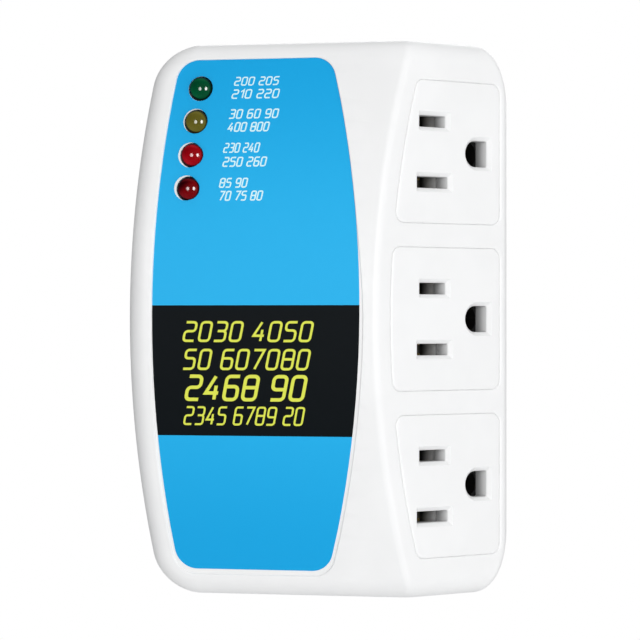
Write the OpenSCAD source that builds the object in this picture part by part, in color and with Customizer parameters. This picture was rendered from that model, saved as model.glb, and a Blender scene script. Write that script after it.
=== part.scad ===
// Plug-in voltage protector: a domed housing with three outlets on its slanted side
// X to the right, Z up, the wall plane at Y = 0 and the front towards -Y

/* [Housing] */
// Height of the housing
body_h = 116; // [113:0.5:122]
// Width of the front at mid-height, from the left side to the crease
front_w = 53.7; // [53:0.1:58]
// Depth from the wall to the middle of the front
body_d = 38; // [37.5:0.25:42]
// Wall thickness of the housing
wall = 2.2; // [1.8:0.1:2.4]
// Radius of the front's dome, top to bottom
dome_r = 218; // [205:1:260]
// Radius of the bowed left side
side_bow_r = 350; // [290:5:500]
// Radius of the left corners, seen from the front
corner_r = 8.5; // [7:0.5:11]
// Radius of the right corners, along the outlet side
right_corner_r = 12; // [8:0.5:13]
// Height of the right side, from the wall to the outlet side
side_h = 9.65; // [9.2:0.05:10.2]
// How far the right side leans in between the outlet side and the wall
right_lean = 2.1; // [0:0.1:2.4]
// Rounding between the front and the outer sides
rim_r = 4.3; // [3:0.1:5]
// Rounding of the crease between the front and the outlet side
crease_r = 2.6; // [1.5:0.1:3.5]
// Rounding between the outlet side and the right side
edge_r = 2.4; // [1.5:0.1:3]
// Thickness of the rear cover
cover_t = 2.5; // [2:0.1:3]

/* [Outlets] */
// Angle from the front to the outlet side
slant = 52; // [51:0.25:53]
// Distance of the outer outlet faces from the housing's ends
face_end_gap = 8.3; // [7.8:0.1:9]
// Width of the bar between two outlet faces
face_bar = 5; // [4.6:0.1:6]
// Left edge of the outlet faces, measured from the crease
face_left = 4.1; // [3.6:0.1:5]
// Distance of the outlet faces from the right end of the slope
face_right_gap = 1.7; // [1.6:0.1:2.4]
// Radius of the outlet faces' corners
face_corner_r = 2.2; // [1:0.1:3.5]
// Gap round each outlet face
face_gap = 0.3; // [0.15:0.05:0.4]
// Blade line of the outlets, measured from the crease
blade_line = 16; // [15.7:0.1:16.2]
// Lead-in bevel of the openings
bevel = 0.85; // [0.3:0.05:1]

/* [Label] */
// Distance of the label from the housing's left side
label_left_gap = 5.9; // [5.4:0.1:7]
// Distance of the label from the crease, at mid-height
label_right_gap = 3.5; // [3.2:0.1:4.5]
// Distance of the label from the housing's top
label_top_gap = 3.6; // [3:0.1:4.5]
// Distance of the label from the housing's bottom
label_bottom_gap = 6; // [4:0.1:7]
// Radius of the label's right edge
label_bow_r = 189; // [180:1:300]
// Height above the middle at which the label is widest
label_bow_up = 1.9; // [0:0.1:3]
// Radius of the label's corners
label_corner_r = 6; // [4:0.5:7]
// Depth of the recess that holds the label
recess = 0.9; // [0.6:0.1:1]
// Thickness of the label
label_t = 0.6; // [0.4:0.1:0.8]

/* [Lamps] */
// Radius of a lamp
led_r = 2.4; // [2:0.05:2.45]
// Length of a lamp's body
led_len = 8.4; // [7.6:0.1:8.6]
// How far a lamp stands proud of the front
led_proud = 1; // [0.4:0.1:1.5]
// Distance of the top lamp from the label's top edge
led_drop = 6.1; // [5.6:0.1:7]
// Spacing of the lamps
led_pitch = 7.05; // [6.6:0.05:7.2]
// Distance of the top lamp from the label's widest left edge
led_inset = 9; // [8.8:0.1:9.6]
// Lean of the row of lamps from upright, in degrees
led_row_lean = 4.3; // [2:0.1:6]

/* [Plug] */
// Middle of the plug, left or right of the housing's middle
plug_x = -10; // [-11:0.2:-8]
// Height of the plug's blades
plug_z = 22; // [20:0.5:24]
// Length of the blades
blade_l = 17.5; // [15.9:0.1:18.2]
// Length of the ground pin
pin_l = 20.6; // [19:0.1:21.4]

/* [Board] */
// Distance from the front's plane to the board
board_gap = 14.5; // [14.2:0.1:15]
// Thickness of the board
board_t = 1.6; // [1.2:0.1:2]
// Height of the relay
relay_h = 15.6; // [15.2:0.1:15.8]
// Swing of the relay's armature in degrees
armature_swing = 4; // [2:0.5:4]

/* [Hidden] */

$fn = 48;
// General clearance of pieces that seat in each other
fit = 0.1;
// Overrun of every cut
over = 1;
// Width of the outlet side, measured along its slope
outlet_side_w = (body_d - side_h) / sin(slant);
body_w = front_w + outlet_side_w * cos(slant);
crease_x = body_w / 2 - outlet_side_w * cos(slant);
// The three outlets fill the height
outlet_pitch = (body_h - 2 * face_end_gap + face_bar) / 3;
face_h = outlet_pitch - face_bar;
face_right = outlet_side_w - face_right_gap;
// How far the right side leans in for each unit of depth
lean = right_lean / side_h;
label_left = -body_w / 2 + label_left_gap;
label_right = crease_x - label_right_gap;
label_top = body_h / 2 - label_top_gap;
label_bottom = -body_h / 2 + label_bottom_gap;
led_top = label_top - led_drop;

// Housing: rows along the dome and steps round a corner
dome_rows = 9;
corner_step = 10;
round_steps = 6;
inner_round = 0.8;
// Spacing of a rim's points where they run out into the end wall
seam = 0.03;

// Cover: lip that enters the housing, screw pads and screws
lip_t = 1.2;
lip_h = 2;
boss_r = 3.2;
pad_h = 2.5;
screw_r = 1.3;
screw_head_r = 2.5;
screw_head_t = 1.8;
screw_sink = 3;
screw_l = 12;
left_boss_in = 7.9;
left_boss_end = 17;
right_boss_in = 1.1;
right_boss_end = 6;
left_boss = [-body_w / 2 + left_boss_in, body_h / 2 - left_boss_end];
right_boss = [crease_x - right_boss_in, body_h / 2 - right_boss_end];
boss_spots = [left_boss, [left_boss.x, -left_boss.y], right_boss, [right_boss.x, -right_boss.y]];
// Recess of a screw head, as shares of the head's radius and thickness
cross_l_share = 0.6;
cross_w_share = 0.33;
cross_d_share = 0.6;

// Openings of one outlet, and how their contacts lie
blade_half_pitch = 6.35;
ground_offset = 11.9;
slot_w = 2.4;
hot_slot_l = 7.1;
neutral_slot_l = 8.4;
ground_r = 2.75;
ground_flat = 3.2;
ground_x = blade_line + ground_offset;
flange = 1.2;
flange_right = 0.6;
flange_t = 1.9;
outlet_rows = [outlet_pitch, 0, -outlet_pitch];
face_depth = wall + fit + flange_t;

// Carrier that holds the contacts behind the outlet faces
carrier_left = 8;
carrier_rim = 1.5;
sleeve_r = 3;
carrier_right = ground_x + sleeve_r + carrier_rim;
carrier_depth = 13;
pocket_w = 8;
pocket_h = 5;
pocket_rim = 0.65;
carrier_end = outlet_pitch + blade_half_pitch + pocket_h / 2 + pocket_rim;
pillar_r = 2.5;
pillar_depth = 7;
pillar_shift = 1.5;
pillar_x = blade_line + pillar_shift;
carrier_web = 2.4;

// Brass strips
strip_t = 0.8;
leaf_t = 0.6;
leaf_w = 6.6;
leaf_front = 8.8;
leaf_gap = 1.7;
strip_w = 2.6;
live_x = 8.3;
neutral_x = 20.8;
ground_strip_w = 6;
sleeve_bore_r = 2.45;
strip_over = 1;
strip_end = carrier_end + strip_over;
strip_depth = carrier_depth + fit;
strip_back = strip_depth + strip_t;

// Plug: a standard grounded plug, its pad on the cover and its clamp
blade_w = 6.35;
blade_t = 1.52;
blade_tip = 1.4;
blade_hole_r = 1.6;
blade_hole_y = 11.9;
pin_r = 2.38;
pin_root_r = 2.2;
pin_seat = 0.6;
shoulder = 1.3;
shoulder_t = 1.5;
tab_l = 4.9;
plug_pad_t = 5;
plug_pad_w = 27;
plug_pad_h = 25;
clamp_t = 3.8;
clamp_screw_r = 1.1;
clamp_screw_head_r = 2;
clamp_screw_head_t = 1.3;
clamp_screw_l = 8.5;
clamp_screw_x = 10;
plug_ground_z = plug_z - ground_offset;
plug_mid_z = plug_z - ground_offset / 2;
clamp_seat = -cover_t - plug_pad_t - fit / 2;

// Board, notched at the left bosses
board_front = -body_d + board_gap;
board_rear = board_front + board_t;
board_left_gap = 10.6;
board_right_gap = 9.6;
board_top_gap = 6;
board_bottom_gap = 8;
board_left = -body_w / 2 + board_left_gap;
board_right = crease_x - board_right_gap;
board_top = body_h / 2 - board_top_gap;
board_bottom = -body_h / 2 + board_bottom_gap;
board_corner_r = 1.5;
board_clear = 0.5;
notch_x = left_boss.x + boss_r + board_clear;
notch_z = left_boss.y - boss_r - board_clear;
board_screw_r = 1.2;
board_screw_l = 7;

// Lamps
led_hole_r = led_r + 1.5 * fit;
led_flange = 0.45;
led_flange_t = 1;
lead_r = 0.28;
lead_half_pitch = 1.27;
lead_stub = 0.8;
led_spots = [for (i = [0:3]) [label_left + led_inset - i * led_pitch * tan(led_row_lean),
    led_top - i * led_pitch]];

// Relay, standing on the board with its long side up
relay_in = 11.3;
relay_up = 15.6;
relay_x = board_right - relay_in;
relay_z = board_bottom + relay_up;
relay_w = 15.4;
relay_l = 19.2;
relay_wall = 0.8;
relay_base_t = 1.2;
yoke_w = 8;
yoke_t = 1;
yoke_end = 7.4;
coil_at = -2.1;
coil_r = 4.2;
coil_flange_r = 4.5;
coil_flange_t = 0.8;
coil_h = 8.2;
core_r = 1.5;
pole_h = 0.5;
pole_r = 2.4;
armature_gap = 0.7;
armature_t = 0.9;
armature_end = 2.4;
arm_t = 0.4;
arm_w = 4.4;
contact_at = 6;
contact_r = 1.2;
contact_t = 0.6;
stop_t = 0.5;
contact_clear = 0.08;
rest_bracket = 7.9;
work_bracket = 6.7;

// Small parts on the board, placed from its lower left, lower right or an upper corner
low_left = [board_left, board_bottom];
low_right = [board_right, board_bottom];
film_in = [5.6, 20];
film_spot = low_left + film_in;
film_size = [8.2, 18, 14];
// Capacitors: place, radius and length
cap_in = 5.6;
lower_cap_up = 39.5;
upper_cap_up = 48.5;
lower_cap_r = 4;
upper_cap_r = 3.15;
lower_cap_l = 12;
upper_cap_l = 10.2;
caps = [[board_left + cap_in, board_bottom + lower_cap_up, lower_cap_r, lower_cap_l],
    [board_left + cap_in, board_bottom + upper_cap_up, upper_cap_r, upper_cap_l]];
cap_round = 0.6;
cap_dimple = 0.3;
varistor_in = [-15.5, 35];
varistor_spot = low_right + varistor_in;
varistor_r = 6;
varistor_t = 4.4;
varistor_lift = 1.2;
chip_in = [-15, 47.5];
chip_spot = low_right + chip_in;
chip_size = [19.2, 6.4, 3.3];
chip_lift = 0.5;
chip_legs = 7;
leg_pitch = 2.54;
leg_w = 0.5;
leg_t = 0.3;
lower_resistor_in = [7.8, 57];
upper_resistor_in = [-11.5, -15];
resistor_pitch = 3.8;
resistor_spots = concat([for (i = [0:2]) low_left + lower_resistor_in + [i * resistor_pitch, 0]],
    [for (i = [0:2]) [board_right, board_top] + upper_resistor_in + [i * resistor_pitch, 0]]);
resistor_r = 1.15;
resistor_l = 6.3;
diode_in = [13.8, -18];
diode_pitch = 4;
diode_spots = [for (i = [0:3]) [board_left, board_top] + diode_in + [0, i * diode_pitch]];
diode_r = 1.3;
diode_l = 5.2;
wire_leg_r = 0.3;
leg_reach = 1.8;
axial_lift = 1.8;
transistor_in = [-7.6, 29];
transistor_spot = low_right + transistor_in;
transistor_r = 2.3;
transistor_flat_share = 0.6;
transistor_h = 4.6;
transistor_lift = 2.5;

// Posts that carry the board, the left one between the upper capacitor and the lowest lamp
post_r = 2.8;
post_in = 3.5;
post_bore = 7;
post_mid_z = (caps[1][1] + upper_cap_r + led_spots[3].y) / 2;
post_spots = [[notch_x + post_in, board_bottom + post_in], [board_right - post_in, board_bottom + post_in],
    [board_right - post_in, board_top - post_in], [board_left + post_in, post_mid_z]];

// Insulated wires
wire_r = 1.3;
wire_sides = 8;
wire_steps = 4;
wire_out = 1.2;
live_pad_in = 1.6;
live_in_pad_up = 43.7;
live_out_pad_up = 37;

function unit(v) = v / norm(v);

// Points that round the corner b of the path a, b, c
function fillet(a, b, c, r, n) =
    let (p = unit(a - b), q = unit(c - b), half = acos(p * q) / 2,
         m = b + unit(p + q) * r / sin(half),
         s = b + p * r / tan(half) - m, e = b + q * r / tan(half) - m,
         start = atan2(s.y, s.x), turn = (atan2(e.y, e.x) - start + 540) % 360 - 180)
    [for (i = [0:n]) m + r * [cos(start + turn * i / n), sin(start + turn * i / n)]];

// A closed outline whose corners have the given radii, zero for a plain point
function rounded(pts, radii, n) =
    let (k = len(pts))
    [for (i = [0:k - 1]) each radii[i] == 0 ? [pts[i]]
        : fillet(pts[(i + k - 1) % k], pts[i], pts[(i + 1) % k], radii[i], n)];

// How far an arc of radius r falls away at height z, on a surface set in by some amount
function bow(z, r, inset) = r - sqrt((r - inset) * (r - inset) - z * z);

// How far a quarter round of radius r at the end of a side draws in at height z
function draw_in(z, end, r) =
    let (past = min(abs(z) - end + r, r)) past <= 0 ? 0 : r - sqrt(r * r - past * past);

function end_of(inset) = body_h / 2 - inset;
function corner_at(z, inset) = draw_in(z, end_of(inset), corner_r - inset);
function right_corner_at(z, inset) = draw_in(z, end_of(inset), right_corner_r - inset);
function rim_at(z, inset) = draw_in(z, end_of(inset), rim_r - inset);
function left_x(z, inset) = -body_w / 2 + bow(z, side_bow_r, inset) + corner_at(z, inset);
// The right side at height z and depth y
function right_x(z, inset, y) =
    body_w / 2 - inset - right_corner_at(z, inset) * cos(slant) - lean * (y + side_h);
function front_y(z, inset) = -body_d + bow(z, dome_r, inset) + rim_at(z, inset);

// Heights of the housing's rows: close together round the corners, even along the dome
function rows(inset) =
    let (r = max(corner_r, right_corner_r) - inset, straight = end_of(inset) - r)
    concat([for (a = [90:-corner_step:corner_step]) -straight - r * sin(a)],
           [for (i = [-dome_rows:dome_rows]) straight * i / dome_rows],
           [for (a = [corner_step:corner_step:90]) straight + r * sin(a)]);

// Points over the left rim at height z: one rounding that follows the side and its corners
function left_rim(z, inset, n) =
    let (r = rim_r - inset, corner = corner_r - inset, past = max(abs(z) - end_of(inset) + corner, 0),
         middle = -body_w / 2 + bow(z, side_bow_r, inset) + corner, y = -body_d + bow(z, dome_r, inset))
    [for (k = [0:n]) let (t = 90 * k / n, reach = corner - r * (1 - cos(t)))
        reach > past ? [middle - sqrt(reach * reach - past * past), y + r * (1 - sin(t))]
        : [middle + k * seam, front_y(z, inset)]];

// One cross-section of the housing at height z, open to the rear edge
function section(z, inset, rear, n) =
    let (xl = left_x(z, inset), yf = front_y(z, inset),
         plane = sin(slant) * crease_x + cos(slant) * body_d - inset - rim_at(z, inset),
         xc = (plane + cos(slant) * yf) / sin(slant),
         yr = (sin(slant) * right_x(z, inset, 0) - plane) / (cos(slant) + lean * sin(slant)),
         rim = left_rim(z, inset, n), k = len(rim) - 1,
         right = rounded([rim[k], [xc, yf], [right_x(z, inset, yr), yr], [right_x(z, inset, rear), rear]],
             [0, max(crease_r - inset, inner_round), max(edge_r - inset, inner_round), 0], n))
    [for (p = concat([[xl, rear]], [for (i = [0:k - 1]) rim[i]], right)) [p.x, p.y, z]];

// The front view's outline, as a polygon of left-right and up-down places
function front_outline(inset) =
    let (zs = rows(inset), k = len(zs))
    concat([for (z = zs) [left_x(z, inset), z]],
           [for (i = [k - 1:-1:0]) [right_x(zs[i], inset, -cover_t), zs[i]]]);

// A closed skin over rings of points
module skin(rings) {
    n = len(rings[0]);
    last = (len(rings) - 1) * n;
    polyhedron(points = [for (r = rings) each r],
        faces = concat([[for (i = [0:n - 1]) i], [for (i = [n - 1:-1:0]) last + i]],
            [for (j = [0:n:last - n]) for (i = [0:n - 1]) let (k = (i + 1) % n)
                each [[j + i, j + n + i, j + n + k], [j + i, j + n + k, j + k]]]));
}

// Local x right, y up and z towards the front, from the plane at depth y
module to_front(y) translate([0, y, 0]) rotate([90, 0, 0]) children();

// Local x right, y up and z towards the wall, from the plane at depth y
module to_wall(y) translate([0, y, 0]) mirror([0, 1, 0]) rotate([90, 0, 0]) children();

// Local x down the slope from the crease, y up and z straight out of the outlet side
module on_slant(depth) {
    translate([crease_x, -body_d, 0]) rotate([0, 0, slant]) rotate([90, 0, 0])
        translate([0, 0, -depth]) children();
}

function slant_point(x, depth, z) =
    [crease_x + x * cos(slant) - depth * sin(slant),
     -body_d + x * sin(slant) + depth * cos(slant), z];

module block(low, high) translate(low) cube(high - low);

module post(spot, r, h) translate(spot) cylinder(r = r, h = h);

// Everything inside a dome that lies some way under the front
module dome_core(under) {
    translate([-body_w, -body_d + dome_r, 0]) rotate([0, 90, 0])
        cylinder(r = dome_r - under, h = 2 * body_w, $fn = 200);
}

label_steps = 8;
function label_outline(grow) =
    let (low = label_bottom - grow, high = label_top + grow,
         zs = [for (i = [0:label_steps]) low + (high - low) * i / label_steps])
    rounded(concat([for (z = zs) [label_left - grow + bow(z, side_bow_r, 0), z]],
                   [for (i = [label_steps:-1:0])
                       [label_right + grow - bow(zs[i] - label_bow_up, label_bow_r, 0), zs[i]]]),
            [for (i = [0:2 * label_steps + 1]) let (k = i % (label_steps + 1))
                k == 0 || k == label_steps ? label_corner_r + grow : 0], round_steps);

module label_prism(grow) {
    to_front(-body_d + bow(body_h / 2, dome_r, 0) + wall)
        linear_extrude(height = bow(body_h / 2, dome_r, 0) + wall + over) polygon(label_outline(grow));
}

face_steps = 5;
module face_outline(at, grow, grow_right) {
    low = at - face_h / 2 - grow;
    high = at + face_h / 2 + grow;
    zs = [for (i = [0:face_steps]) low + (high - low) * i / face_steps];
    left = [for (z = zs) [face_left - grow + bow(z, dome_r, 0) / sin(slant), z]];
    polygon(rounded(concat(left, [[face_right + grow_right, high], [face_right + grow_right, low]]),
        [for (i = [0:face_steps + 2]) i == 0 || i >= face_steps ? face_corner_r + grow : 0], round_steps));
}

module front_housing() {
    color("white") difference() {
        skin([for (z = rows(0)) section(z, 0, -cover_t, round_steps)]);
        difference() {
            skin([for (z = rows(wall)) section(z, wall, over, round_steps / 2)]);
            to_front(-cover_t - pad_h) for (spot = boss_spots) post(spot, boss_r, body_d);
            to_front(board_front) for (spot = post_spots) post(spot, post_r, body_d);
            on_slant(pillar_depth) for (side = [-1, 1])
                post([pillar_x, side * outlet_pitch / 2], pillar_r, pillar_depth + over);
        }
        to_front(-cover_t - pad_h + over)
            for (spot = boss_spots) post(spot, screw_r + fit / 2, screw_l + over);
        to_front(board_front + over)
            for (spot = post_spots) post(spot, board_screw_r + fit / 2, post_bore + over);
        on_slant(pillar_depth + over) for (side = [-1, 1])
            post([pillar_x, side * outlet_pitch / 2], board_screw_r + fit / 2,
                 pillar_depth - wall / 2 + over);
        on_slant(wall + over) for (at = outlet_rows)
            linear_extrude(height = wall + 2 * over) face_outline(at, 0, 0);
        difference() {
            label_prism(face_gap);
            dome_core(recess);
        }
        to_front(board_front - led_flange_t)
            for (spot = led_spots) post(spot, led_hole_r, board_gap + over);
    }
}

module front_label() {
    color("deepskyblue") difference() {
        intersection() {
            label_prism(0);
            dome_core(recess - fit / 2 - label_t);
        }
        dome_core(recess - fit / 2);
        to_front(board_front) for (spot = led_spots) post(spot, led_hole_r + bevel / 2, body_d);
    }
}

module ground_shape(grow) {
    circle(r = ground_r + grow, $fn = 32);
    translate([0, -ground_r - grow]) square([ground_flat + grow, 2 * (ground_r + grow)]);
}

module slot_shape(length, grow) square([length + 2 * grow, slot_w + 2 * grow], center = true);

// A straight opening with a bevelled mouth, cut down from the outer surface
module opening() {
    translate([0, 0, -face_depth - over]) linear_extrude(height = face_depth + 2 * over) children(0);
    hull() {
        linear_extrude(height = over / 10) children(1);
        translate([0, 0, -bevel]) linear_extrude(height = over / 10) children(0);
    }
}

module outlet_face(at) {
    color("whitesmoke") difference() {
        union() {
            on_slant(face_depth) linear_extrude(height = face_depth)
                face_outline(at, -face_gap, -face_gap);
            on_slant(face_depth) linear_extrude(height = flange_t)
                face_outline(at, flange, flange_right);
        }
        on_slant(0) {
            translate([blade_line, at + blade_half_pitch, 0]) opening() {
                slot_shape(hot_slot_l, 0);
                slot_shape(hot_slot_l, bevel);
            }
            translate([blade_line, at - blade_half_pitch, 0]) opening() {
                slot_shape(neutral_slot_l, 0);
                slot_shape(neutral_slot_l, bevel);
            }
            translate([ground_x, at, 0]) opening() {
                ground_shape(0);
                ground_shape(bevel);
            }
        }
        on_slant(face_depth + over) for (side = [-1, 1])
            post([pillar_x, side * outlet_pitch / 2], pillar_r + fit, flange_t + over);
    }
}

module outlet_face_top() outlet_face(outlet_rows[0]);
module outlet_face_middle() outlet_face(outlet_rows[1]);
module outlet_face_bottom() outlet_face(outlet_rows[2]);

module contact_carrier() {
    front = face_depth + fit / 2;
    deep = carrier_depth - front;
    color("dimgray") on_slant(carrier_depth) difference() {
        block([carrier_left, -carrier_end, 0], [carrier_right, carrier_end, deep]);
        for (at = outlet_rows) {
            for (side = [-1, 1])
                translate([blade_line - pocket_w / 2, at + side * blade_half_pitch - pocket_h / 2, -over])
                    cube([pocket_w, pocket_h, deep + 2 * over]);
            translate([ground_x, at, -over]) cylinder(r = sleeve_r + fit, h = deep + 2 * over);
        }
        for (side = [-1, 1]) translate([pillar_x, side * outlet_pitch / 2, 0]) {
            translate([0, 0, carrier_depth - pillar_depth - fit / 2])
                cylinder(r = pillar_r + fit, h = pillar_depth);
            translate([0, 0, -over])
                cylinder(r = screw_head_r + fit, h = carrier_depth - pillar_depth - carrier_web + over);
            translate([0, 0, -over]) cylinder(r = board_screw_r + fit, h = carrier_depth);
        }
    }
}

// A pan-head screw, its head towards -z and its shank along +z from the seat at z = 0
module screw(shank_r, length, head_r, head_t) {
    difference() {
        union() {
            translate([0, 0, -head_t]) cylinder(r = head_r, h = head_t);
            cylinder(r = shank_r, h = length);
        }
        for (turn = [0, 90]) rotate(turn)
            translate([-head_r * cross_l_share, -head_t * cross_w_share / 2, -head_t - over])
                cube([2 * head_r * cross_l_share, head_t * cross_w_share, head_t * cross_d_share + over]);
    }
}

module carrier_screws() {
    seat = pillar_depth + fit / 2 + carrier_web;
    color("silver") on_slant(seat) for (side = [-1, 1])
        translate([pillar_x, side * outlet_pitch / 2, 0])
            screw(board_screw_r, seat - wall, screw_head_r, screw_head_t);
}

// A flat bus along the carrier's back with a pair of spring leaves behind each slot
module blade_strip(bus_x, side) {
    left = min(bus_x, blade_line - leaf_w / 2);
    right = max(bus_x + strip_w, blade_line + leaf_w / 2);
    on_slant(strip_back) difference() {
        union() {
            block([bus_x, -strip_end, 0], [bus_x + strip_w, strip_end, strip_t]);
            for (at = outlet_rows) translate([0, at + side * blade_half_pitch, 0]) {
                block([left, -slot_w, 0], [right, slot_w, strip_t]);
                for (leaf = [0, 1]) mirror([0, leaf, 0])
                    block([blade_line - leaf_w / 2, leaf_gap / 2, 0],
                          [blade_line + leaf_w / 2, leaf_gap / 2 + leaf_t, strip_back - leaf_front]);
            }
        }
        for (at = outlet_rows)
            translate([blade_line - leaf_w / 2 - fit, at + side * blade_half_pitch - leaf_gap / 2, -over])
                cube([leaf_w + 2 * fit, leaf_gap, strip_t + 2 * over]);
    }
}

module live_strip() color("gold") blade_strip(live_x, 1);
module neutral_strip() color("goldenrod") blade_strip(neutral_x, -1);

module ground_strip() {
    color("darkgoldenrod") on_slant(strip_back) difference() {
        union() {
            block([ground_x - ground_strip_w / 2, -strip_end, 0],
                  [ground_x + ground_strip_w / 2, strip_end, strip_t]);
            for (at = outlet_rows) post([ground_x, at], sleeve_r, strip_back - leaf_front);
        }
        for (at = outlet_rows) translate([ground_x, at, -over]) {
            cylinder(r = sleeve_bore_r, h = strip_back);
            translate([0, -leaf_t, strip_t + over]) cube([sleeve_r + over, 2 * leaf_t, strip_back]);
        }
    }
}

module rear_cover() {
    lip = wall + 2 * fit;
    color("whitesmoke") difference() {
        union() {
            to_front(0) linear_extrude(height = cover_t) polygon(front_outline(0));
            difference() {
                to_front(-cover_t) linear_extrude(height = lip_h) difference() {
                    polygon(front_outline(lip));
                    polygon(front_outline(lip + lip_t));
                }
                to_front(0) for (spot = boss_spots) post(spot, boss_r + 2 * fit, body_d);
            }
            to_front(-cover_t) for (spot = boss_spots) post(spot, boss_r, pad_h - fit / 2);
            to_front(-cover_t) block([plug_x - plug_pad_w / 2, plug_mid_z - plug_pad_h / 2, 0],
                [plug_x + plug_pad_w / 2, plug_mid_z + plug_pad_h / 2, plug_pad_t]);
        }
        to_front(over) for (spot = boss_spots) {
            post(spot, screw_head_r + 2 * fit, screw_sink + over);
            post(spot, screw_r + fit, body_d);
        }
        for (side = [-1, 1]) translate([plug_x + side * blade_half_pitch, 0, plug_z])
            cube([blade_t + fit, 2 * body_d, blade_w + fit], center = true);
        to_front(over) post([plug_x, plug_ground_z], pin_root_r + fit / 2, body_d);
        to_front(over) post([plug_x, plug_ground_z], pin_r + fit, over + pin_seat);
        to_wall(clamp_seat - over) for (side = [-1, 1])
            post([plug_x + side * clamp_screw_x, plug_ground_z], clamp_screw_r + fit / 2,
                 clamp_screw_l - clamp_t + over);
    }
}

module blade_clamp() {
    color("gainsboro") to_front(clamp_seat) difference() {
        block([plug_x - plug_pad_w / 2, plug_mid_z - plug_pad_h / 2, 0],
              [plug_x + plug_pad_w / 2, plug_mid_z + plug_pad_h / 2, clamp_t]);
        for (side = [-1, 1]) translate([plug_x + side * blade_half_pitch, plug_z, 0]) {
            cube([blade_t + fit, blade_w + 2 * shoulder + fit, 2 * shoulder_t + fit], center = true);
            cube([blade_t + fit, blade_w + fit, body_d], center = true);
        }
        translate([plug_x, plug_ground_z, -over]) {
            cylinder(r = pin_r + shoulder + fit / 2, h = shoulder_t + fit / 2 + over);
            cylinder(r = pin_root_r + fit / 2, h = body_d);
        }
        for (side = [-1, 1])
            post([plug_x + side * clamp_screw_x, plug_ground_z, -over], clamp_screw_r + fit / 2, body_d);
    }
}

module clamp_screws() {
    color("silver") to_wall(clamp_seat - clamp_t) for (side = [-1, 1])
        translate([plug_x + side * clamp_screw_x, plug_ground_z, 0])
            screw(clamp_screw_r, clamp_screw_l - fit, clamp_screw_head_r, clamp_screw_head_t);
}

// A flat blade with a chamfered tip, a shoulder inside the clamp and a solder tab
module blade(x) {
    tail = clamp_seat - tab_l;
    half = blade_w / 2;
    translate([x - blade_t / 2, 0, plug_z]) rotate([90, 0, 90]) difference() {
        linear_extrude(height = blade_t) polygon([[tail, -half], [clamp_seat - shoulder_t, -half],
            [clamp_seat - shoulder_t, -half - shoulder], [clamp_seat, -half - shoulder],
            [clamp_seat, -half],
            [blade_l - blade_tip, -half], [blade_l, blade_tip - half], [blade_l, half - blade_tip],
            [blade_l - blade_tip, half], [clamp_seat, half], [clamp_seat, half + shoulder],
            [clamp_seat - shoulder_t, half + shoulder], [clamp_seat - shoulder_t, half], [tail, half]]);
        translate([blade_hole_y, 0, -over]) cylinder(r = blade_hole_r, h = blade_t + 2 * over);
    }
}

module line_blade() color("goldenrod") blade(plug_x + blade_half_pitch);
module neutral_blade() color("goldenrod") blade(plug_x - blade_half_pitch);

module ground_pin() {
    color("goldenrod") to_wall(0) translate([plug_x, plug_ground_z, 0]) {
        cylinder(r = pin_r, h = pin_l - pin_r);
        translate([0, 0, clamp_seat - tab_l]) cylinder(r = pin_root_r, h = tab_l - clamp_seat);
        translate([0, 0, pin_l - pin_r]) sphere(r = pin_r);
        translate([0, 0, clamp_seat - shoulder_t]) cylinder(r = pin_r + shoulder, h = shoulder_t);
    }
}

module housing_screws() {
    color("silver") to_front(-screw_sink) for (spot = boss_spots) translate(spot)
        screw(screw_r, screw_l - fit, screw_head_r, screw_head_t);
}

module board_screws() {
    color("silver") to_front(board_rear) for (spot = post_spots) translate(spot)
        screw(board_screw_r, board_screw_l, screw_head_r, screw_head_t);
}

module circuit_board() {
    corner = board_corner_r;
    color("darkgreen") to_front(board_rear) difference() {
        linear_extrude(height = board_t) polygon(rounded(
            [[notch_x, board_bottom], [board_right, board_bottom], [board_right, board_top],
             [notch_x, board_top], [notch_x, notch_z], [board_left, notch_z],
             [board_left, -notch_z], [notch_x, -notch_z]],
            [for (i = [0:7]) i == 4 || i == 7 ? 0 : corner], round_steps));
        for (spot = post_spots) post([spot.x, spot.y, -over], board_screw_r + fit, board_t + 2 * over);
        for (spot = led_spots) for (side = [-1, 1])
            post([spot.x + side * lead_half_pitch, spot.y, -over], lead_r + fit, board_t + 2 * over);
    }
}

function led_tip(spot) = front_y(spot.y, 0) - led_proud;

module led(i) {
    spot = led_spots[i];
    to_wall(led_tip(spot)) translate([spot.x, spot.y, 0]) {
        translate([0, 0, led_r]) sphere(r = led_r);
        translate([0, 0, led_r]) cylinder(r = led_r, h = led_len - led_r);
        translate([0, 0, led_len - led_flange_t]) cylinder(r = led_r + led_flange, h = led_flange_t);
    }
}

module led_green() color("green") led(0);
module led_amber() color("olive") led(1);
module led_red() color("red") led(2);
module led_dark_red() color("darkred") led(3);

module led_leads() {
    color("silver") for (spot = led_spots) for (side = [-1, 1])
        to_wall(led_tip(spot) + led_len)
            post([spot.x + side * lead_half_pitch, spot.y], lead_r,
                 board_rear + lead_stub - led_tip(spot) - led_len);
}

// Local x right, y up and z away from the board, at the relay's middle
module in_relay() to_wall(board_rear) translate([relay_x, relay_z, 0]) children();

core_top = relay_base_t + yoke_t + fit + coil_h;
hinge_h = core_top + armature_gap;
armature_low = hinge_h + contact_clear;
arm_low = armature_low + armature_t;
swing_at_contact = (contact_at + yoke_end) * tan(armature_swing);
relay_inner = [relay_w / 2 - relay_wall - fit, relay_l / 2 - relay_wall - fit];

module relay_base() {
    color("dimgray") in_relay() difference() {
        block([-relay_inner.x, -relay_inner.y, 0], [relay_inner.x, relay_inner.y, relay_base_t]);
        for (at = [rest_bracket, work_bracket])
            block([-arm_w / 2 - fit, at - fit, -over],
                  [arm_w / 2 + fit, at + stop_t + fit, relay_base_t + over]);
    }
}

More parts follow.
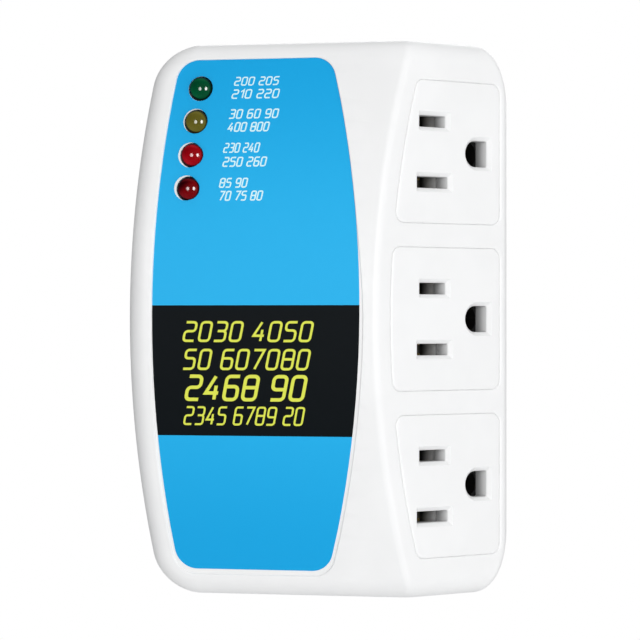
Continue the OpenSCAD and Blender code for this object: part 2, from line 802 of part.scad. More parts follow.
module relay_case() {
    color("royalblue") in_relay() difference() {
        block([-relay_w / 2, -relay_l / 2, 0], [relay_w / 2, relay_l / 2, relay_h]);
        block([-relay_w / 2 + relay_wall, -relay_l / 2 + relay_wall, -over],
              [relay_w / 2 - relay_wall, relay_l / 2 - relay_wall, relay_h - relay_wall]);
    }
}

// The yoke's upper edge is round, and the armature rocks about its middle
module relay_yoke() {
    color("gray") in_relay() difference() {
        union() {
            block([-yoke_w / 2, -yoke_end - yoke_t / 2, relay_base_t],
                  [yoke_w / 2, -yoke_end + yoke_t / 2, hinge_h - yoke_t / 2]);
            translate([-yoke_w / 2, -yoke_end, hinge_h - yoke_t / 2]) rotate([0, 90, 0])
                cylinder(r = yoke_t / 2, h = yoke_w);
            block([-yoke_w / 2, -yoke_end, relay_base_t],
                  [yoke_w / 2, coil_at + pole_r, relay_base_t + yoke_t]);
        }
        translate([0, coil_at, relay_base_t - over]) cylinder(r = core_r + fit / 2, h = yoke_t + 2 * over);
    }
}

module relay_core() {
    color("lightgray") in_relay() translate([0, coil_at, relay_base_t]) {
        cylinder(r = core_r, h = core_top - relay_base_t);
        translate([0, 0, core_top - relay_base_t - pole_h]) cylinder(r = pole_r, h = pole_h);
    }
}

module relay_coil() {
    low = relay_base_t + yoke_t + fit / 2;
    h = coil_h - pole_h;
    color("chocolate") in_relay() translate([0, coil_at, low]) difference() {
        union() {
            cylinder(r = coil_r, h = h);
            cylinder(r = coil_flange_r, h = coil_flange_t);
            translate([0, 0, h - coil_flange_t]) cylinder(r = coil_flange_r, h = coil_flange_t);
        }
        translate([0, 0, -over]) cylinder(r = core_r + fit / 2, h = h + 2 * over);
    }
}

module relay_armature() {
    color("darkgray") in_relay() {
        block([-yoke_w / 2, -yoke_end - yoke_t / 2, armature_low], [yoke_w / 2, armature_end, arm_low]);
        block([-arm_w / 2, coil_at, arm_low], [arm_w / 2, contact_at + contact_r, arm_low + arm_t]);
        translate([0, contact_at, arm_low - contact_t])
            cylinder(r = contact_r, h = arm_t + 2 * contact_t);
    }
}

// The two fixed contacts: a rest contact over the arm and a working contact under it
module relay_contacts() {
    rest_low = arm_low + arm_t + contact_t + contact_clear;
    work_top = arm_low - contact_t - swing_at_contact - contact_clear * 2;
    tip = contact_at - contact_r;
    rest_end = rest_bracket + stop_t;
    work_end = work_bracket + stop_t;
    color("peru") in_relay() {
        block([-arm_w / 2, rest_bracket, 0], [arm_w / 2, rest_end, rest_low + stop_t]);
        block([-arm_w / 2, tip, rest_low], [arm_w / 2, rest_end, rest_low + stop_t]);
        block([-arm_w / 2, work_bracket, 0], [arm_w / 2, work_end, work_top]);
        block([-arm_w / 2, tip, work_top - stop_t], [arm_w / 2, work_end, work_top]);
    }
}

module on_board(spot) to_wall(board_rear) translate([spot.x, spot.y, 0]) children();

module film_capacitor() {
    color("gold") on_board(film_spot) translate([-film_size.x / 2, -film_size.y / 2, 0]) cube(film_size);
}

module electrolytic_capacitors() {
    color("midnightblue") for (cap = caps) let (r = cap[2], h = cap[3])
        on_board([cap[0], cap[1]]) rotate_extrude()
            polygon([[0, 0], [r - cap_round, 0], [r, cap_round], [r, h - cap_round],
                [r - cap_round, h], [r / 2, h], [r / 2, h - cap_dimple], [0, h - cap_dimple]]);
}

module varistor() {
    color("steelblue") on_board(varistor_spot) {
        translate([0, varistor_t / 2, varistor_lift + varistor_r]) rotate([90, 0, 0])
            cylinder(r = varistor_r, h = varistor_t);
        for (side = [-1, 1]) post([side * varistor_r / 2, 0], wire_leg_r, varistor_lift + varistor_r);
    }
}

module controller_chip() {
    leg_at = chip_size.y / 2 + leg_t;
    color("black") on_board(chip_spot) {
        translate([-chip_size.x / 2, -chip_size.y / 2, chip_lift]) cube(chip_size);
        for (i = [0:chip_legs - 1]) for (side = [-1, 1])
            translate([(i - (chip_legs - 1) / 2) * leg_pitch, side * leg_at, 0])
                block([-leg_w / 2, -leg_t, 0], [leg_w / 2, leg_t, chip_lift + chip_size.z / 2]);
    }
}

// An axial part on two bent legs
module axial(r, length) {
    reach = length / 2 + leg_reach;
    translate([0, -length / 2, axial_lift]) rotate([-90, 0, 0]) cylinder(r = r, h = length);
    translate([0, -reach, axial_lift]) rotate([-90, 0, 0]) cylinder(r = wire_leg_r, h = 2 * reach);
    for (side = [-1, 1]) translate([0, side * reach, 0]) {
        cylinder(r = wire_leg_r, h = axial_lift);
        translate([0, 0, axial_lift]) sphere(r = wire_leg_r);
    }
}

module resistors() color("tan") for (spot = resistor_spots) on_board(spot) axial(resistor_r, resistor_l);
module diodes() color("dimgray") for (spot = diode_spots) on_board(spot) rotate(90) axial(diode_r, diode_l);

module driver_transistor() {
    color("black") on_board(transistor_spot) {
        translate([0, 0, transistor_lift]) difference() {
            cylinder(r = transistor_r, h = transistor_h);
            translate([-transistor_r, -(1 + transistor_flat_share) * transistor_r, -over])
                cube([2 * transistor_r, transistor_r, transistor_h + 2 * over]);
        }
        for (i = [-1:1]) post([i * leg_pitch / 2, 0], wire_leg_r, transistor_lift + over);
    }
}

// A smooth path through points, and a tube that follows it
function on_curve(a, b, c, d, t) =
    (2 * b + (c - a) * t + (2 * a - 5 * b + 4 * c - d) * t * t + (3 * b - a - 3 * c + d) * t * t * t) / 2;
function curve(pts) =
    let (k = len(pts) - 1)
    concat([for (i = [0:k - 1]) for (s = [0:wire_steps - 1])
        on_curve(pts[max(i - 1, 0)], pts[i], pts[i + 1], pts[min(i + 2, k)], s / wire_steps)], [pts[k]]);

module wire(pts, side) {
    path = curve(pts);
    last = len(path) - 1;
    skin([for (i = [0:last])
        let (along = unit(path[min(i + 1, last)] - path[max(i - 1, 0)]),
             across = unit(cross(side, along)), up = cross(along, across))
        [for (s = [0:wire_sides - 1]) let (a = 360 * s / wire_sides)
            path[i] + wire_r * (cos(a) * across + sin(a) * up)]]);
}

// A wire from joint a to joint b: straight out of both, and between them by way of places given as shares
module wire_between(a, out_a, way_shares, b, out_b, side) {
    from = a + 2 * wire_out * out_a;
    to = b + 2 * wire_out * out_b;
    wire(concat([a, a + wire_out * out_a, from],
                [for (w = way_shares) [for (i = [0:2]) from[i] + w[i] * (to[i] - from[i])]],
                [to, b + wire_out * out_b, b]), side);
}

joint_gap = fit / 4;
tab_y = clamp_seat - tab_l - joint_gap;
pad_y = board_rear + joint_gap;
gap_z = outlet_pitch / 2;
end_z = strip_end - wire_r - fit;
live_back = strip_back + joint_gap;
live_pad_x = board_right - live_pad_in;
to_back = [0, 1, 0];
from_strip = [-sin(slant), cos(slant), 0];

module live_in_wire() {
    color("black") wire_between([plug_x + blade_half_pitch, tab_y, plug_z], -to_back,
        [[0.3, 0.3, 0.2], [0.8, 0.55, 0.5], [1, 0.8, 0.8]],
        [live_pad_x, pad_y, board_bottom + live_in_pad_up], to_back, [1, 0, 0]);
}

module live_out_wire() {
    color("black") wire_between([live_pad_x, pad_y, board_bottom + live_out_pad_up], to_back,
        [[0.4, -2.5, 0.45]], slant_point(live_x + strip_w / 2, live_back, -gap_z), from_strip, [0, 0, 1]);
}

module neutral_wire() {
    color("white") wire_between([plug_x - blade_half_pitch, tab_y, plug_z], -to_back,
        [[0.08, -0.35, 0.25], [0.3, 0, 0.65], [0.65, 0.45, 0.95]],
        slant_point(neutral_x + strip_w / 2, live_back, end_z), from_strip, [0, 0, 1]);
}

module ground_wire() {
    color("green") wire_between([plug_x, tab_y, plug_ground_z], -to_back,
        [[0.1, -0.05, 0.18], [0.33, 0.3, 0.55], [0.63, 0.75, 0.85]],
        slant_point(ground_x, live_back, -gap_z), from_strip, [0, 0, 1]);
}

front_housing();
rear_cover();
front_label();
outlet_face_top();
outlet_face_middle();
outlet_face_bottom();
contact_carrier();
live_strip();
neutral_strip();
ground_strip();
carrier_screws();
circuit_board();
board_screws();
led_green();
led_amber();
led_red();
led_dark_red();
led_leads();
relay_base();
relay_case();
relay_coil();
relay_core();
relay_yoke();
relay_armature();
relay_contacts();
film_capacitor();
electrolytic_capacitors();
varistor();
controller_chip();
resistors();
diodes();
driver_transistor();
line_blade();
neutral_blade();
ground_pin();
blade_clamp();
clamp_screws();
housing_screws();
live_in_wire();
live_out_wire();
neutral_wire();
ground_wire();
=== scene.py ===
# Plug-in voltage protector: its looks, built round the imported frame
import math

import bmesh
import bpy
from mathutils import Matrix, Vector


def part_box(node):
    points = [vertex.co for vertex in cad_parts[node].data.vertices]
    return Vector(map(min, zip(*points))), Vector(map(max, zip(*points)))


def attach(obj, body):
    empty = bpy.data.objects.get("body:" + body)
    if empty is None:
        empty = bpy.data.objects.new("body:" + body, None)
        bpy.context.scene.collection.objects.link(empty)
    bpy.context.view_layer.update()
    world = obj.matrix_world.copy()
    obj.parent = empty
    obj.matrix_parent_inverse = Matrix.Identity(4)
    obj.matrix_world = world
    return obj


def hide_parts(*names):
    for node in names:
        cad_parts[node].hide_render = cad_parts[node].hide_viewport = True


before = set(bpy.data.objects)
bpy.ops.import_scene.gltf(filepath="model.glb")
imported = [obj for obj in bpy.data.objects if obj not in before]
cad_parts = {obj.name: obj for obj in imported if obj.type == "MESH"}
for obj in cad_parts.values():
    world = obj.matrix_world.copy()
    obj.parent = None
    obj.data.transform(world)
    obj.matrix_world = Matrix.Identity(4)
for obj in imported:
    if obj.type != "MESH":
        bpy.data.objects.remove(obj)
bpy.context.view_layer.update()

# Lengths are in millimetres here, and in metres once a mesh is made
MM = 0.001
# How far a cutter runs past what it cuts, and how far a cutting slab stands above the dome
OVER = 1
ABOVE = 4
# In metres: how close points have to be to become one, in a CAD mesh and in a mesh made here
WELD = 1e-6
TINY = 1e-7


# Sizes of the housing, read from the frame where it shows them
def span(node):
    low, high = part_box(node)
    return low / MM, high / MM


shell_low, shell_high = span("front_housing")
BODY_H = shell_high.z - shell_low.z
BODY_W = -2 * shell_low.x
BODY_D = -shell_low.y
COVER_T = -shell_high.y
WALL = 2.2
DOME_R = 218
SIDE_BOW_R = 350
CORNER_R = 8.5
RIGHT_CORNER_R = 12
RIM_R = 4.3
CREASE_R = 2.6
EDGE_R = 2.4
INNER_ROUND = 0.8
SIDE_H = 9.65
LEAN = 2.1 / SIDE_H
REAR_CHAMFER = 0.3
SLANT = math.radians(52)
SIDE_W = (BODY_D - SIDE_H) / math.sin(SLANT)
CREASE_X = BODY_W / 2 - SIDE_W * math.cos(SLANT)
SEAM = 0.1
# Steps of a skin: round its ends, along its height and round its rims
SHELL_STEPS = (30, 44, 12)
CAVITY_STEPS = (12, 24, 6)
SLAB_STEPS = 110

# Outlets
FACE_END_GAP = 8.3
FACE_BAR = 5
FACE_LEFT = 4.1
FACE_RIGHT = SIDE_W - 1.7
FACE_CORNER_R = 2.2
FACE_GAP = 0.015
FACE_EDGE = 0.7
FACE_EDGE_STEEP = 0.45
FACE_DEPTH = 4.24
FLANGE = 1.2
FLANGE_RIGHT = 0.6
FLANGE_T = 1.9
PITCH = (BODY_H - 2 * FACE_END_GAP + FACE_BAR) / 3
FACE_H = PITCH - FACE_BAR
BLADE_LINE = 16
HALF_PITCH = 6.35
GROUND_X = BLADE_LINE + 11.9
SLOT_W = 2.4
HOT_SLOT_L = 7.1
NEUTRAL_SLOT_L = 8.4
GROUND_R = 2.75
GROUND_FLAT = 3.2
OPENING_BEVEL = 0.85
OPENING_SOFT = 0.1
SLOT_CORNER_R = 0.25
GROUND_CORNER_R = 0.3
CORNER_CLEAR = 1
PILLAR_R = 2.5
PILLAR_DEPTH = 7
PILLAR_X = BLADE_LINE + 1.5
PILLAR_CLEAR = 0.1

# Label and lamps
LABEL_LEFT = -BODY_W / 2 + 5.9
LABEL_RIGHT = CREASE_X - 3.5
LABEL_TOP = BODY_H / 2 - 3.6
LABEL_BOTTOM = -BODY_H / 2 + 5.6
LABEL_BOW_R = 189
LABEL_BOW_UP = 1.9
LABEL_CORNER_R = 4.7
# The most that this radius grows with the outline
LABEL_CORNER_GROW = 1
LABEL_SINK = 0.25
FILM_T = 0.1
INK_T = 0.03
# How much higher, as a share, a numeral's second stroke lies than its first
STROKE_LIFT = 0.1
NUMERAL_SLANT = 0.21
NUMERAL_GAP = 0.5
NUMERAL_SPACE = 0.25
NUMERAL_ONE = 0.5
NUMERAL_ROUND = 0.3
NUMERAL_ROUND_TALL = 0.2
# Strokes of the numerals, in a square one unit wide and high
SHARP_NUMERALS = "147"
NUMERALS = {
    " ": (),
    "0": (((0, 0), (0, 1), (1, 1), (1, 0), (0, 0)),),
    "1": (((0, 0.76), (0.5, 1), (0.5, 0)),),
    "2": (((0, 1), (1, 1), (1, 0.52), (0, 0.52), (0, 0), (1, 0)),),
    "3": (((0, 1), (1, 1), (1, 0.53), (0.2, 0.53)), ((0.2, 0.53), (1, 0.53), (1, 0), (0, 0))),
    "4": (((0.6, 1), (0, 0.28), (1, 0.28)), ((0.75, 0.6), (0.75, 0))),
    "5": (((1, 1), (0, 1), (0, 0.56), (1, 0.56), (1, 0), (0, 0)),),
    "6": (((1, 1), (0, 1), (0, 0), (1, 0), (1, 0.56), (0.05, 0.56)),),
    "7": (((0, 1), (1, 1), (0.35, 0)),),
    "8": (((0, 0), (0, 1), (1, 1), (1, 0), (0, 0)), ((0, 0.52), (1, 0.52))),
    "9": (((0, 0), (1, 0), (1, 1), (0, 1), (0, 0.44), (0.95, 0.44)),),
}
# The film lies in a close pocket inside a shallow recess with soft edges
POCKET_GAP = 0.02
LEDGE = 0.32
LEDGE_LEFT = 0.15
LEDGE_LOWER_LEFT = 0.45
LEDGE_TOP = 0.05
LEDGE_BOTTOM = 1.1
LEDGE_RIGHT = 0.06
LEDGE_LOWER_RIGHT = 0.7
RECESS_EDGE = 0.22
SOFT_FOOT = 1.6
# Heights between which the ledge widens towards the foot
LOWER_LEFT_SPAN = (0, -40)
LOWER_RIGHT_SPAN = (22, -2)
LAMPS = ("led_green", "led_amber", "led_red", "led_dark_red")
LAMP_R = 2.4
LAMP_L = 8.4
LAMP_HOLE_R = LAMP_R + 0.22
LAMP_DOME = 1.3
LAMP_TIP = 0.04
LAMP_FLANGE = 0.45
LAMP_FLANGE_T = 1
LAMP_ROUND = 0.1
PRINT_HOLE_R = LAMP_HOLE_R + 0.02
# The print's holes sit a little off the lamps, more so from the top one down
PRINT_SHIFTS = ((0, 0), (-0.2, 0.15), (-0.45, 0.08), (-0.52, 0.2))

# Posts inside
BOSS_R = 3.2
PAD_H = 2.5
POST_R = 2.8
BOARD_FRONT = -BODY_D + 14.5
POST_SIDES = 48
PILLAR_SIDES = 40
LAMP_SIDES = 64


# Outlines and surfaces
def bow(z, r, inset=0):
    """How far an arc of radius r falls away at height z."""
    return r - math.sqrt((r - inset) ** 2 - z * z)


def draw_in(z, end, r):
    """How far a quarter round at the end of a side draws in at height z."""
    past = min(abs(z) - end + r, r)
    return 0 if past <= 0 else r - math.sqrt(max(r * r - past * past, 0))


def end_of(inset):
    return BODY_H / 2 - inset


def corner_at(z, inset):
    return draw_in(z, end_of(inset), CORNER_R - inset)


def right_corner_at(z, inset):
    return draw_in(z, end_of(inset), RIGHT_CORNER_R - inset)


def rim_at(z, inset):
    return draw_in(z, end_of(inset), RIM_R - inset)


def left_x(z, inset):
    return -BODY_W / 2 + bow(z, SIDE_BOW_R, inset) + corner_at(z, inset)


def right_x(z, inset, y):
    """The right side, which leans in between the outlet side and the wall."""
    return BODY_W / 2 - inset - right_corner_at(z, inset) * math.cos(SLANT) - LEAN * (y + SIDE_H)


def dome_y(z, under=0):
    """Depth of the front's dome at height z, or of a surface some way under it."""
    return -BODY_D + bow(z, DOME_R, under)


def front_y(z, inset=0):
    return dome_y(z, inset) + rim_at(z, inset)


def fillet(a, b, c, r, steps):
    """Points that round the corner b of the path a, b, c."""
    a, b, c = Vector(a), Vector(b), Vector(c)
    p, q = (a - b).normalized(), (c - b).normalized()
    half = math.acos(max(-1, min(1, p.dot(q)))) / 2
    middle = b + (p + q).normalized() * r / math.sin(half)
    s = b + p * r / math.tan(half) - middle
    e = b + q * r / math.tan(half) - middle
    start = math.atan2(s.y, s.x)
    turn = (math.atan2(e.y, e.x) - start + 3 * math.pi) % (2 * math.pi) - math.pi
    angles = [start + turn * i / steps for i in range(steps + 1)]
    return [(middle.x + r * math.cos(t), middle.y + r * math.sin(t)) for t in angles]


def rounded(corners, radii, steps):
    """A closed outline whose corners have the given radii, zero for a plain point."""
    points = []
    for i, (corner, r) in enumerate(zip(corners, radii)):
        before, after = corners[i - 1], corners[(i + 1) % len(corners)]
        points += fillet(before, corner, after, r, steps) if r else [tuple(corner)]
    return points


def even(low, high, count):
    return [low + (high - low) * i / count for i in range(count + 1)]


def ease(value, start, end):
    """From 0 at the start to 1 at the end, softly."""
    share = max(0, min(1, (value - start) / (end - start)))
    return share * share * (3 - 2 * share)


def label_edge(left, right, top, bottom, lower_left=0, lower_right=0):
    """The label's outline, grown by its own amount on each side."""
    steps = 24
    zs = even(LABEL_BOTTOM - bottom, LABEL_TOP + top, steps)
    # A corner's radius swallows the plain points beside it
    zs = [z for i, z in enumerate(zs) if i not in (1, steps - 1)]
    lefts = [(LABEL_LEFT - left - lower_left * ease(z, *LOWER_LEFT_SPAN) + bow(z, SIDE_BOW_R), z)
             for z in zs]
    rights = [(LABEL_RIGHT + right + lower_right * ease(z, *LOWER_RIGHT_SPAN)
               - bow(z - LABEL_BOW_UP, LABEL_BOW_R), z) for z in reversed(zs)]
    last = len(zs) - 1
    ends = (0, last, last + 1, 2 * last + 1)
    radii = [LABEL_CORNER_R + min(left, LABEL_CORNER_GROW) if i in ends else 0 for i in range(2 * last + 2)]
    return rounded(lefts + rights, radii, 12)


def label_outline(grow):
    return label_edge(grow, grow, grow, grow)


def recess_outline(edge):
    """The mouth of the label's recess: wider along the lower half, and softer under its foot."""
    return label_edge(LEDGE_LEFT + edge, LEDGE_RIGHT + edge, LEDGE_TOP + edge,
                      LEDGE_BOTTOM + SOFT_FOOT * edge, LEDGE_LOWER_LEFT, LEDGE_LOWER_RIGHT)


def face_outline(at, grow, grow_right=None):
    """One outlet face: its left edge follows the dome's crease."""
    steps = 12
    low, high = at - FACE_H / 2 - grow, at + FACE_H / 2 + grow
    zs = even(low, high, steps)
    r = FACE_CORNER_R + grow
    end = FACE_RIGHT + (grow if grow_right is None else grow_right)
    left = [(FACE_LEFT - grow + bow(z, DOME_R) / math.sin(SLANT), z) for z in zs]
    near = r + CORNER_CLEAR
    left = [p for i, p in enumerate(left) if i in (0, steps) or low + near < p[1] < high - near]
    corners = left + [(end, high), (end, low)]
    sharp = (0, len(left) - 1, len(left), len(left) + 1)
    return rounded(corners, [r if i in sharp else 0 for i in range(len(corners))], 8)


def slot_outline(length, at):
    """A slot with a faint corner rounding, as a function of how far it is grown."""
    def outline(grow):
        x, z = length / 2 + grow, SLOT_W / 2 + grow
        corners = [(-x, -z), (-x, z), (x, z), (x, -z)]
        ring = rounded(corners, [SLOT_CORNER_R] * 4, 4)
        return [(BLADE_LINE + u, at + v) for u, v in ring]
    return outline


def ground_outline(at):
    """The ground opening: round on its left, flat on its right."""
    def outline(grow):
        r = GROUND_R + grow
        arc = [(-r * math.sin(t), -r * math.cos(t)) for t in even(0, math.pi, 28)]
        square = rounded([arc[-1], (GROUND_FLAT + grow, r), (GROUND_FLAT + grow, -r), arc[0]],
                         [0, GROUND_CORNER_R, GROUND_CORNER_R, 0], 4)
        return [(GROUND_X + u, at + v) for u, v in arc + square[1:-1]]
    return outline


# Places: from a flat outline and a depth to the shared frame
def under_slant(u, z, down):
    """u runs down the slope from the crease, and down is square to the outlet side."""
    return (CREASE_X + u * math.cos(SLANT) - down * math.sin(SLANT),
            -BODY_D + u * math.sin(SLANT) + down * math.cos(SLANT), z)


def on_dome(x, z, under):
    return (x, dome_y(z) + under, z)


def under_front(x, z, under):
    return (x, front_y(z) + under, z)


# Meshes
def piece(name, bm):
    """A new object from a mesh in millimetres."""
    bmesh.ops.recalc_face_normals(bm, faces=bm.faces)
    bmesh.ops.scale(bm, vec=(MM, MM, MM), verts=bm.verts)
    mesh = bpy.data.meshes.new(name)
    bm.to_mesh(mesh)
    bm.free()
    made = bpy.data.objects.new(name, mesh)
    bpy.context.scene.collection.objects.link(made)
    return made


def add_loft(bm, rings, closed=False):
    """A skin over rings of points, capped at both ends unless it closes on itself."""
    rows = [[bm.verts.new(p) for p in ring] for ring in rings]
    n = len(rows[0])
    pairs = list(zip(rows, rows[1:])) + ([(rows[-1], rows[0])] if closed else [])
    for a, b in pairs:
        for i in range(n):
            j = (i + 1) % n
            bm.faces.new((a[i], a[j], b[j], b[i]))
    if not closed:
        bm.faces.new(rows[0])
        bm.faces.new(list(reversed(rows[-1])))


def loft(name, rings):
    bm = bmesh.new()
    add_loft(bm, rings)
    return piece(name, bm)


def settle(made):
    """Applies the modifiers to the mesh."""
    graph = bpy.context.evaluated_depsgraph_get()
    mesh = bpy.data.meshes.new_from_object(made.evaluated_get(graph))
    made.modifiers.clear()
    made.data = mesh


def carve(made, tool, operation="DIFFERENCE"):
    step = made.modifiers.new("carve", "BOOLEAN")
    step.operation = operation
    step.solver = "EXACT"
    step.object = tool
    bpy.context.view_layer.update()
    settle(made)
    bpy.data.objects.remove(tool)


def smooth(made, degrees=28):
    """Smooth faces, with an edge left sharp where they meet at a larger angle."""
    bm = bmesh.new()
    bm.from_mesh(made.data)
    bmesh.ops.remove_doubles(bm, verts=bm.verts, dist=TINY)
    bmesh.ops.dissolve_degenerate(bm, edges=bm.edges, dist=TINY)
    for face in bm.faces:
        face.smooth = True
    for edge in bm.edges:
        two = len(edge.link_faces) == 2
        edge.smooth = two and edge.calc_face_angle(0) < math.radians(degrees)
    bm.to_mesh(made.data)
    bm.free()


def edge_rings(outline, place, edge, floor, over=OVER, steep=1):
    """Rings of a cutter or a plate whose mouth is rounded: from over the surface down to its floor."""
    steps = 5
    rings = [[place(u, v, -over) for u, v in outline(edge)]]
    for i in range(steps + 1):
        t = math.pi / 2 * i / steps
        grow, down = edge * (1 - math.sin(t)), edge * steep * (1 - math.cos(t))
        rings.append([place(u, v, down) for u, v in outline(grow)])
    rings.append([place(u, v, floor) for u, v in outline(0)])
    return rings


# Housing
def housing_rows(inset, turn_steps, rows):
    r = max(CORNER_R, RIGHT_CORNER_R) - inset
    straight = end_of(inset) - r
    turn = [straight + r * math.sin(math.radians(a)) for a in even(0, 90, turn_steps)]
    return [-z for z in reversed(turn[1:])] + even(-straight, straight, rows) + turn[1:]


def left_rim(z, inset, steps):
    """The rounding over the left side, which follows the side and its corners."""
    r, corner = RIM_R - inset, CORNER_R - inset
    past = max(abs(z) - end_of(inset) + corner, 0)
    middle = -BODY_W / 2 + bow(z, SIDE_BOW_R, inset) + corner
    points = []
    for k, t in enumerate(even(0, math.pi / 2, steps)):
        reach = corner - r * (1 - math.cos(t))
        if reach > past:
            x = middle - math.sqrt(reach * reach - past * past)
            points.append((x, dome_y(z, inset) + r * (1 - math.sin(t))))
        else:
            points.append((middle + k * SEAM / steps, front_y(z, inset)))
    return points


def housing_section(z, inset, rear, steps, chamfer=0):
    """One cross-section of the housing at height z, open to the rear edge."""
    xl, yf = left_x(z, inset), front_y(z, inset)
    plane = math.sin(SLANT) * CREASE_X + math.cos(SLANT) * BODY_D - inset - rim_at(z, inset)
    xc = (plane + math.cos(SLANT) * yf) / math.sin(SLANT)
    yr = (math.sin(SLANT) * right_x(z, inset, 0) - plane) / (math.cos(SLANT) + LEAN * math.sin(SLANT))
    corner, heel = (right_x(z, inset, yr), yr), (right_x(z, inset, rear - chamfer), rear - chamfer)
    rim = left_rim(z, inset, steps)
    crease = max(CREASE_R - inset, INNER_ROUND)
    edge = max(EDGE_R - inset, INNER_ROUND)
    right = rounded([rim[-1], (xc, yf), corner, heel], [0, crease, edge, 0], steps)
    foot = [(xl, rear)]
    if chamfer:
        foot = [(xl + chamfer, rear), (xl, rear - chamfer)]
        right.append((right_x(z, inset, rear) - chamfer, rear))
    return [(x, y, z) for x, y in foot + rim[:-1] + right]


def dome_slab(name, outer, inner):
    """The space between two surfaces that lie some way under the dome."""
    reach = BODY_H / 2 + 1.5 * OVER
    zs = even(-reach, reach, SLAB_STEPS)
    rings = []
    for x in (-BODY_W, BODY_W):
        arc = [(x, dome_y(z, outer), z) for z in zs]
        rings.append(arc + [(x, dome_y(z, inner), z) for z in reversed(zs)])
    return loft(name, rings)


def lamp_places():
    """Middle and tip of each lamp, from the frame."""
    places = []
    for node in LAMPS:
        low, high = span(node)
        places.append(((low.x + high.x) / 2, low.y, (low.z + high.z) / 2))
    return places


def solids_of(node):
    """Middle of each separate solid of a CAD node, in millimetres."""
    bm = bmesh.new()
    bm.from_mesh(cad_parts[node].data)
    bmesh.ops.remove_doubles(bm, verts=bm.verts, dist=WELD)
    left, middles = set(bm.verts), []
    while left:
        found, edge = set(), [left.pop()]
        while edge:
            vert = edge.pop()
            found.add(vert)
            near = {e.other_vert(vert) for e in vert.link_edges} & left
            left -= near
            edge += near
        sides = [[v.co[i] for v in found] for i in range(3)]
        middles.append(tuple((min(s) + max(s)) / 2 / MM for s in sides))
    bm.free()
    return sorted(middles)


def pillar_ring(side, r, depth):
    turns = even(0, 2 * math.pi, PILLAR_SIDES)[:-1]
    at = side * PITCH / 2
    return [under_slant(PILLAR_X + r * math.cos(t), at + r * math.sin(t), depth) for t in turns]


def ring(place, r, y, count=POST_SIDES):
    """A ring at depth y, about the line from front to back through a place."""
    x, z = place[0], place[2]
    return [(x + r * math.cos(t), y, z + r * math.sin(t)) for t in even(0, 2 * math.pi, count)[:-1]]


def add_post(bm, place, r, low, high):
    add_loft(bm, [ring(place, r, low), ring(place, r, high)])


def pressed(row, y):
    """A ring of points laid flat at depth y."""
    return [(p[0], y, p[2]) for p in row]


def make_housing():
    turn, rows, rim = SHELL_STEPS
    shell = loft("housing_shell", [housing_section(z, 0, -COVER_T, rim, REAR_CHAMFER)
                                   for z in housing_rows(0, turn, rows)])
    turn, rows, rim = CAVITY_STEPS
    cavity = loft("cavity", [housing_section(z, WALL, OVER, rim) for z in housing_rows(WALL, turn, rows)])
    # The cavity leaves out the posts for the cover's screws, the board and the carrier
    bm = bmesh.new()
    for place in solids_of("housing_screws"):
        add_post(bm, place, BOSS_R, -COVER_T - PAD_H, -BODY_D)
    for place in solids_of("board_screws"):
        add_post(bm, place, POST_R, BOARD_FRONT, -BODY_D)
    for side in (1, -1):
        add_loft(bm, [pillar_ring(side, PILLAR_R, depth) for depth in (0, PILLAR_DEPTH)])
    carve(cavity, piece("posts", bm))
    carve(shell, cavity)
    # Outlet windows, label recess and lamp holes
    bm = bmesh.new()
    for row in (1, 0, -1):
        def window(grow, at=row * PITCH):
            return face_outline(at, grow)
        add_loft(bm, edge_rings(window, under_slant, FACE_EDGE, WALL + OVER, steep=FACE_EDGE_STEEP))
    carve(shell, piece("windows", bm))

    rings = edge_rings(recess_outline, under_front, RECESS_EDGE, RECESS_EDGE, over=OVER / 2)
    rings[0] = pressed(rings[0], -BODY_D - 2 * OVER)
    rings[-1] = pressed(rings[-1], dome_y(BODY_H / 2) + 2 * OVER)
    recess = loft("recess", rings)
    carve(recess, dome_slab("recess_core", -ABOVE, LEDGE), "INTERSECT")
    carve(shell, recess)
    pocket = label_prism("pocket", POCKET_GAP)
    carve(pocket, dome_slab("pocket_core", -ABOVE, LABEL_SINK + FILM_T), "INTERSECT")
    carve(shell, pocket)
    bm = bmesh.new()
    for place in lamp_places():
        add_post(bm, place, LAMP_HOLE_R, BOARD_FRONT, -BODY_D - 2 * OVER)
    carve(shell, piece("lamp_holes", bm))
    smooth(shell)
    return shell


# Label
def label_prism(name, grow):
    depths = (-BODY_D - OVER, dome_y(BODY_H / 2) + 2 * OVER)
    return loft(name, [[(x, y, z) for x, z in label_outline(grow)] for y in depths])


def make_label():
    label = label_prism("label_plate", 0)
    carve(label, dome_slab("label_core", LABEL_SINK, LABEL_SINK + FILM_T), "INTERSECT")
    bm = bmesh.new()
    for (x, y, z), (right, up) in zip(lamp_places(), PRINT_SHIFTS):
        add_post(bm, (x + right, y, z + up), PRINT_HOLE_R, -BODY_D - OVER, BOARD_FRONT)
    carve(label, piece("print_holes", bm))
    smooth(label)
    return label


def add_stroke(bm, path, width, put):
    """A ribbon along a flat path, closed if the path ends where it starts; put() lays it on the label."""
    closed = path[0] == path[-1]
    points = [Vector(p) for p in (path[:-1] if closed else path)]
    last = len(points) - 1
    rings = []
    for i, point in enumerate(points):
        ahead = points[(i + 1) % len(points)] - point
        behind = point - points[i - 1]
        if not closed:
            ahead, behind = (ahead if i < last else behind), (behind if i else ahead)
        ahead.normalize()
        mean = (ahead + behind.normalized()).normalized()
        reach = width / 2 / mean.dot(ahead)
        side = Vector((-mean.y, mean.x)) * reach
        rings.append([put(*(point + side * turn), top) for turn, top in ((1, 1), (-1, 1), (-1, 0), (1, 0))])
    add_loft(bm, rings, closed)


def numeral_path(corners, wide, tall, soft):
    """A numeral's stroke at its size, its inner corners rounded."""
    path = [(x * wide, y * tall) for x, y in corners]
    if path[0] == path[-1]:
        ring = rounded(path[:-1], [soft] * (len(path) - 1), 4)
        return ring + ring[:1]
    return rounded(path, [0] + [soft] * (len(path) - 2) + [0], 4)


